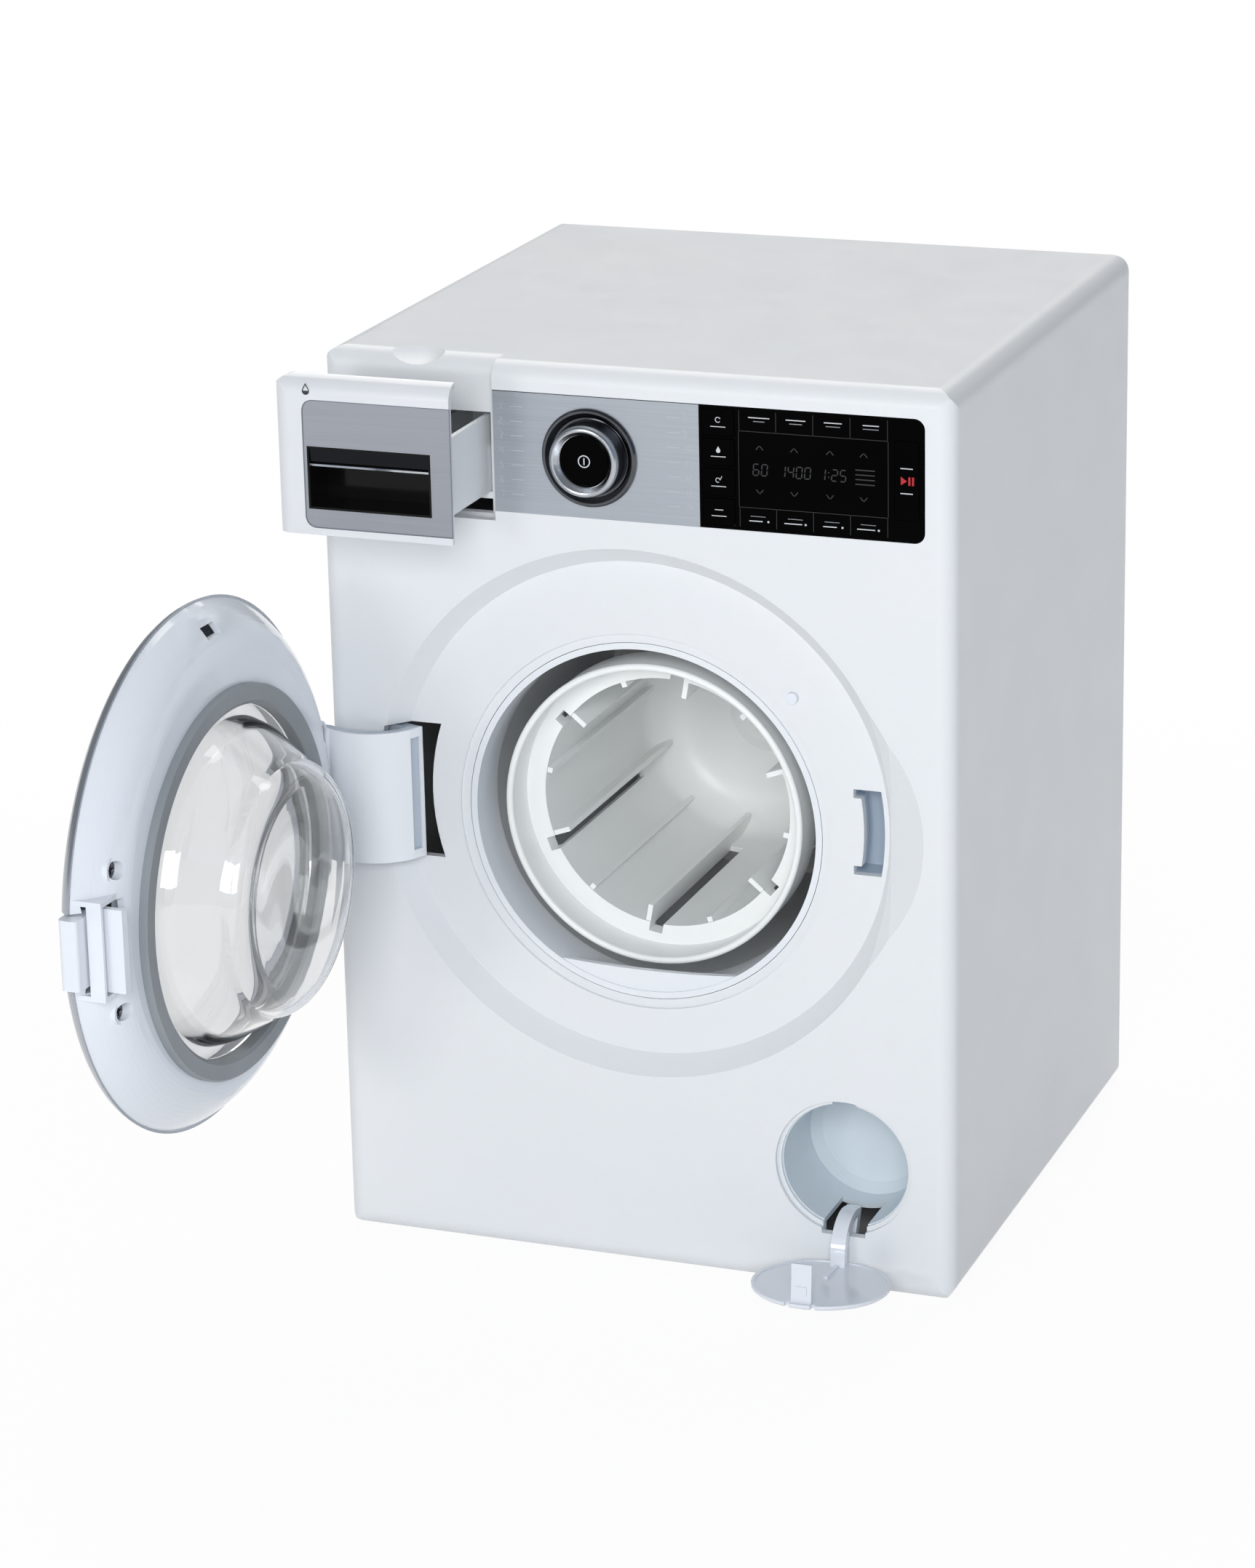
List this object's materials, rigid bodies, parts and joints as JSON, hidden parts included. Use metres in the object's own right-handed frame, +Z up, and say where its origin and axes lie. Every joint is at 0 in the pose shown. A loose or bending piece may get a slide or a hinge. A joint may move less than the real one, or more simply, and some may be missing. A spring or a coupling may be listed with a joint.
{
  "type": "toy washing machine",
  "caption": "Front-loading toy washing machine with a hinged round door, a turning ribbed drum, a pull-out dispenser drawer, a program dial and a round service flap",
  "frame": {"origin": "middle of the cabinet's footprint, on the floor, under the flat base face", "axes": "+Z up, the front with the door faces -Y, +X to the viewer's right; metres"},
  "size_m": [0.1969, 0.3249, 0.26],
  "materials": {
    "white_shell": "satin off-white moulded ABS with a fine texture",
    "white_gloss": "glossy white moulded plastic",
    "pale_blue": "pale blue-grey moulded plastic, satin",
    "tub_grey": "mid grey moulded plastic, satin",
    "drum_white": "warm white moulded plastic, satin",
    "gear_plastic": "natural acetal, waxy satin",
    "steel": "plain steel, finely brushed",
    "bronze": "sintered bronze, dull",
    "motor_can": "zinc plated steel can",
    "dark_plastic": "black moulded plastic, satin",
    "cell_sleeve": "printed plastic sleeve, plain",
    "board_green": "green solder mask",
    "speaker_black": "paper cone and black basket",
    "silver_brushed": "silver lacquer with a fine horizontal grain",
    "gloss_black": "deep gloss black",
    "chrome_trim": "chrome plated plastic",
    "encoder_blue": "blue moulded switch body",
    "silver_paint": "silver metallic lacquer",
    "clear_plastic": "clear polystyrene",
    "gasket_grey": "grey soft moulding, satin"
  },
  "bodies": {
    "cabinet_body": {"cabinet": "white_shell", "rear_cover": "white_shell", "cover_screws": "steel", "port_collar": "pale_blue", "tub": "tub_grey", "tub_screws": "steel", "shaft_bush": "bronze", "motor_bracket": "tub_grey", "motor": "motor_can", "battery_box": "dark_plastic", "batteries": "cell_sleeve", "battery_contacts": "steel", "battery_door": "white_shell", "battery_door_screw": "steel", "circuit_board": "board_green", "speaker": "speaker_black", "fascia_plate": "silver_brushed", "display_panel": "gloss_black", "display_module": "dark_plastic", "dial_bezel": "chrome_trim", "dial_encoder": "encoder_blue", "hinge_bracket": "white_shell", "hinge_pin": "steel", "latch_keeper": "pale_blue", "door_switch": "dark_plastic", "drawer_guide": "white_shell", "filter_cup": "pale_blue", "flap_bracket": "white_shell", "flap_pin": "steel"},
    "drum_body": {"drum": "drum_white", "drum_rim": "drum_white", "drum_shaft": "steel", "drum_gear": "gear_plastic"},
    "pinion": {"motor_pinion": "gear_plastic", "motor_shaft": "steel"},
    "dial": {"program_dial": "chrome_trim"},
    "power": {"power_button": "gloss_black"},
    "start": {"start_button": "gloss_black"},
    "key_1": {"option_key_1": "gloss_black"},
    "key_2": {"option_key_2": "gloss_black"},
    "key_3": {"option_key_3": "gloss_black"},
    "key_4": {"option_key_4": "gloss_black"},
    "switch_pin": {"door_switch_pin": "white_gloss"},
    "door": {"door_ring": "silver_paint", "door_shell": "white_gloss", "door_gasket": "gasket_grey", "door_bowl": "clear_plastic", "door_window": "clear_plastic", "door_screws": "steel", "hinge_arm": "white_gloss", "latch_pin": "steel"},
    "latch": {"door_latch": "white_gloss"},
    "drawer": {"drawer_front": "white_gloss", "drawer_plate": "silver_brushed", "drawer_handle": "gloss_black", "handle_bar": "chrome_trim", "drawer_tray": "white_shell"},
    "flap": {"service_flap": "white_gloss"}
  },
  "joints": [
    {"name": "door_hinge", "type": "hinge", "parent": "cabinet_body", "child": "door", "pos_m": [-0.081, -0.08, 0.134], "axis": [0, 0, 1], "range_deg": [0, 92]},
    {"name": "door_latch_turn", "type": "hinge", "parent": "door", "child": "latch", "pos_m": [-0.09849, -0.22278, 0.134], "axis": [0, 0, 1], "range_deg": [-8, 0], "stiffness_Nm_per_rad": 0.05},
    {"name": "drawer_slide", "type": "slide", "parent": "cabinet_body", "child": "drawer", "axis": [0, 1, 0], "range_m": [-0.016, 0.029]},
    {"name": "drum_spin", "type": "hinge", "parent": "cabinet_body", "child": "drum_body", "pos_m": [0, 0, 0.1302], "axis": [0, 1, 0], "continuous": true},
    {"name": "motor_spin", "type": "hinge", "parent": "cabinet_body", "child": "pinion", "pos_m": [0, 0, 0.0942], "axis": [0, 1, 0], "continuous": true},
    {"name": "dial_turn", "type": "hinge", "parent": "cabinet_body", "child": "dial", "pos_m": [-0.0111, -0.09, 0.2353], "axis": [0, 1, 0], "continuous": true},
    {"name": "power_press", "type": "slide", "parent": "dial", "child": "power", "axis": [0, 1, 0], "range_m": [0, 0.0012], "stiffness_N_per_m": 500},
    {"name": "start_press", "type": "slide", "parent": "cabinet_body", "child": "start", "axis": [0, 1, 0], "range_m": [0, 0.0007], "stiffness_N_per_m": 500},
    {"name": "key_1_press", "type": "slide", "parent": "cabinet_body", "child": "key_1", "axis": [0, 1, 0], "range_m": [0, 0.0007], "stiffness_N_per_m": 500},
    {"name": "key_2_press", "type": "slide", "parent": "cabinet_body", "child": "key_2", "axis": [0, 1, 0], "range_m": [0, 0.0007], "stiffness_N_per_m": 500},
    {"name": "key_3_press", "type": "slide", "parent": "cabinet_body", "child": "key_3", "axis": [0, 1, 0], "range_m": [0, 0.0007], "stiffness_N_per_m": 500},
    {"name": "key_4_press", "type": "slide", "parent": "cabinet_body", "child": "key_4", "axis": [0, 1, 0], "range_m": [0, 0.0007], "stiffness_N_per_m": 500},
    {"name": "flap_hinge", "type": "hinge", "parent": "cabinet_body", "child": "flap", "pos_m": [0.0595, -0.0842, 0.0123], "axis": [1, 0, 0], "range_deg": [-85.2, 0]},
    {"name": "door_switch_press", "type": "slide", "parent": "cabinet_body", "child": "switch_pin", "axis": [0, 1, 0], "range_m": [0, 0.0014], "stiffness_N_per_m": 300}
  ],
  "couplings": [
    {"joint": "motor_spin", "follows": "drum_spin", "ratio": -5}
  ]
}
